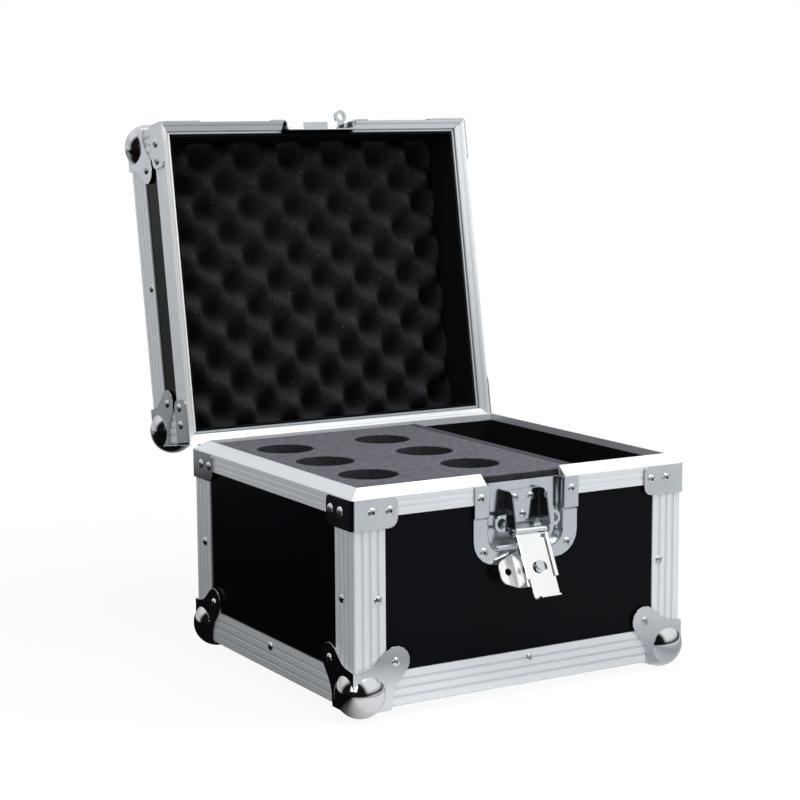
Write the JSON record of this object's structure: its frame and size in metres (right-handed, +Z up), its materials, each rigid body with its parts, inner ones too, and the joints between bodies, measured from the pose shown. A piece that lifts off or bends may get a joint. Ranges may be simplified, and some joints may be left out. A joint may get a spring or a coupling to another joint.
{
  "type": "flight case",
  "caption": "Small flight case with a hinged lid, aluminium edges, ball corners, a recessed butterfly latch, foam holes for microphones and an accessory compartment.",
  "frame": {"origin": "on the floor under the centre of the case's footprint", "axes": "+X to the right seen from the front, -Y out of the front with the latch, +Z up"},
  "size_m": [0.347, 0.4808, 0.4925],
  "materials": {
    "black_laminate": "glossy black laminate on plywood",
    "aluminium_extrusion": "satin anodised",
    "chromed_steel": "polished chrome",
    "zinc_steel": "satin zinc plate",
    "nickel_steel": "bright nickel plate",
    "grey_foam": "cut open-cell foam",
    "charcoal_board": "foam-covered board",
    "black_foam": "profiled open-cell foam",
    "black_lining": "felt",
    "black_rubber": "moulded"
  },
  "bodies": {
    "base": {"base_back_panel": "black_laminate", "base_ball_corner_back_left": "chromed_steel", "base_ball_corner_back_right": "chromed_steel", "base_ball_corner_front_left": "chromed_steel", "base_ball_corner_front_right": "chromed_steel", "base_bottom_panel": "black_laminate", "base_bottom_rails": "aluminium_extrusion", "base_brace_corners": "chromed_steel", "base_corner_posts": "aluminium_extrusion", "base_front_panel": "black_laminate", "base_left_panel": "black_laminate", "base_right_panel": "black_laminate", "base_rim_back": "aluminium_extrusion", "base_rim_front": "aluminium_extrusion", "base_rim_sides": "aluminium_extrusion", "compartment_divider": "charcoal_board", "compartment_lining": "black_lining", "hinge_base_leaves": "zinc_steel", "hinge_pins": "zinc_steel", "latch_bracket": "nickel_steel", "latch_dish_lower": "zinc_steel", "latch_pin": "nickel_steel", "microphone_foam": "grey_foam"},
    "lid": {"handle_brackets": "zinc_steel", "hinge_lid_leaves": "zinc_steel", "latch_dish_upper": "zinc_steel", "latch_keeper": "nickel_steel", "lid_back_panel": "black_laminate", "lid_ball_corner_back_left": "chromed_steel", "lid_ball_corner_back_right": "chromed_steel", "lid_ball_corner_front_left": "chromed_steel", "lid_ball_corner_front_right": "chromed_steel", "lid_brace_corners": "chromed_steel", "lid_corner_posts": "aluminium_extrusion", "lid_foam_pad": "black_foam", "lid_front_panel": "black_laminate", "lid_left_panel": "black_laminate", "lid_lining": "black_lining", "lid_right_panel": "black_laminate", "lid_rim_back": "aluminium_extrusion", "lid_rim_front": "aluminium_extrusion", "lid_rim_sides": "aluminium_extrusion", "lid_top_panel": "black_laminate", "lid_top_rails": "aluminium_extrusion", "padlock_staple": "nickel_steel"},
    "latch_arm": {"latch_cover": "nickel_steel"},
    "latch_hook": {"latch_hook": "nickel_steel"},
    "butterfly": {"latch_butterfly": "nickel_steel", "latch_spindle": "nickel_steel"},
    "handle": {"handle_bail": "zinc_steel", "handle_grip": "black_rubber"}
  },
  "joints": [
    {"name": "lid_hinge", "type": "hinge", "parent": "base", "child": "lid", "pos_m": [0, 0.1549, 0.1825], "axis": [1, 0, 0], "range_deg": [0, 99.6]},
    {"name": "latch_arm_hinge", "type": "hinge", "parent": "base", "child": "latch_arm", "pos_m": [0.00185, -0.1553, 0.1432], "axis": [-1, 0, 0], "range_deg": [0, 154]},
    {"name": "butterfly_turn", "type": "hinge", "parent": "latch_arm", "child": "butterfly", "pos_m": [0.00185, -0.16867, 0.11579], "axis": [0, -0.8988, 0.4384], "range_deg": [0, 180]},
    {"name": "hook_slide", "type": "slide", "parent": "latch_arm", "child": "latch_hook", "axis": [0, 0.4384, 0.8988], "range_m": [0, 0.004]},
    {"name": "handle_swing", "type": "hinge", "parent": "lid", "child": "handle", "pos_m": [0, 0.27382, 0.33571], "axis": [1, 0, 0], "range_deg": [-9.6, 80.4]}
  ],
  "couplings": [
    {"joint": "hook_slide", "follows": "butterfly_turn", "m_per_rad": 0.0012732}
  ]
}
